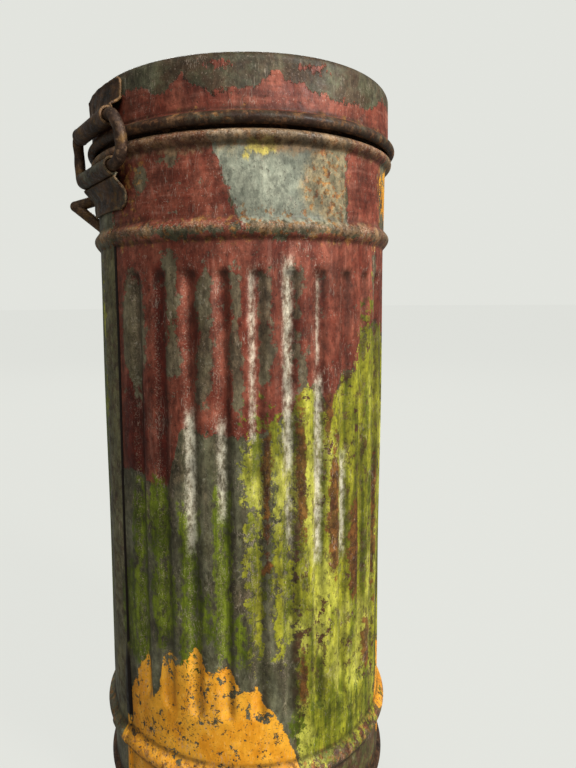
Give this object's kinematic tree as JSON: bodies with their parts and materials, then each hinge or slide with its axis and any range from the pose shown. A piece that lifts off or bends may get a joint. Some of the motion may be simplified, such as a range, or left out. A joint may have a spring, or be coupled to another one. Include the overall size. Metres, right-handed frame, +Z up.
{
  "type": "fluted steel canister",
  "caption": "Tall cylindrical sheet-steel carrying canister with a fluted wall, link-hinged lid, hasp, strap loops, sprung rest plate and a small compartment in the lid.",
  "frame": {"origin": "middle of the flat underside of the base, on the can's axis", "axes": "+Z up along the can's axis, the lid's hinge at +Y, the hasp at -Y, the strap loops on the +X side"},
  "size_m": [0.1341, 0.1344, 0.275],
  "materials": {
    "body_paint": "worn hand-painted camouflage, chipped and rusted",
    "lid_paint": "worn two-tone paint, scratched and rusted",
    "rusted_steel": "brown rust over old paint",
    "rusted_wire": "brown rust, rubbed smooth",
    "bare_steel": "dull worn steel",
    "inner_steel": "thin grey-green primer",
    "lens_glass": "clear"
  },
  "bodies": {
    "body": {"body_shell": "body_paint", "base_pan": "body_paint", "body_hinge_plate": "rusted_steel", "loop_plate_left": "body_paint", "strap_loop_left": "rusted_wire", "loop_plate_right": "body_paint", "strap_loop_right": "rusted_wire", "loop_plate_low": "body_paint", "strap_loop_low": "rusted_wire", "catch_plate": "rusted_steel", "catch_nose": "bare_steel", "catch_rivets": "bare_steel", "spring_seat": "bare_steel", "base_spring": "bare_steel"},
    "link": {"hinge_link": "rusted_wire"},
    "lid": {"lid_shell": "lid_paint", "lid_hinge_plate": "rusted_steel", "hasp_bracket": "rusted_steel", "hasp_pin": "bare_steel", "lens_cup": "inner_steel", "lens_hinge_leaf": "inner_steel", "lens_hinge_pin": "bare_steel", "lens_clip": "bare_steel", "spare_lenses": "lens_glass"},
    "hasp": {"hasp": "rusted_steel"},
    "pull_loop": {"pull_loop": "rusted_wire"},
    "lens_cover": {"lens_cover": "inner_steel"},
    "rest_plate": {"rest_plate": "inner_steel"}
  },
  "joints": [
    {"name": "link_swing", "type": "hinge", "parent": "body", "child": "link", "pos_m": [0, 0.0614, 0.2431], "axis": [-1, 0, 0], "range_deg": [0, 38.5]},
    {"name": "lid_swing", "type": "hinge", "parent": "link", "child": "lid", "pos_m": [0, 0.06225, 0.2592], "axis": [-1, 0, 0], "range_deg": [0, 95]},
    {"name": "hasp_swing", "type": "hinge", "parent": "lid", "child": "hasp", "pos_m": [0, -0.0622, 0.26], "axis": [-1, 0, 0], "range_deg": [-9, 95]},
    {"name": "pull_loop_swing", "type": "hinge", "parent": "hasp", "child": "pull_loop", "pos_m": [0, -0.06662, 0.23336], "axis": [-1, 0, 0], "range_deg": [-3, 85]},
    {"name": "lens_cover_swing", "type": "hinge", "parent": "lid", "child": "lens_cover", "pos_m": [0, 0.0416, 0.2618], "axis": [1, 0, 0], "range_deg": [0, 85]},
    {"name": "rest_plate_slide", "type": "slide", "parent": "body", "child": "rest_plate", "axis": [0, 0, -1], "range_m": [0, 0.018], "stiffness_N_per_m": 400, "springref_m": -0.005, "deforming": ["base_spring"]}
  ],
  "couplings": [
    {"joint": "link_swing", "follows": "lid_swing", "ratio": 0.4}
  ]
}
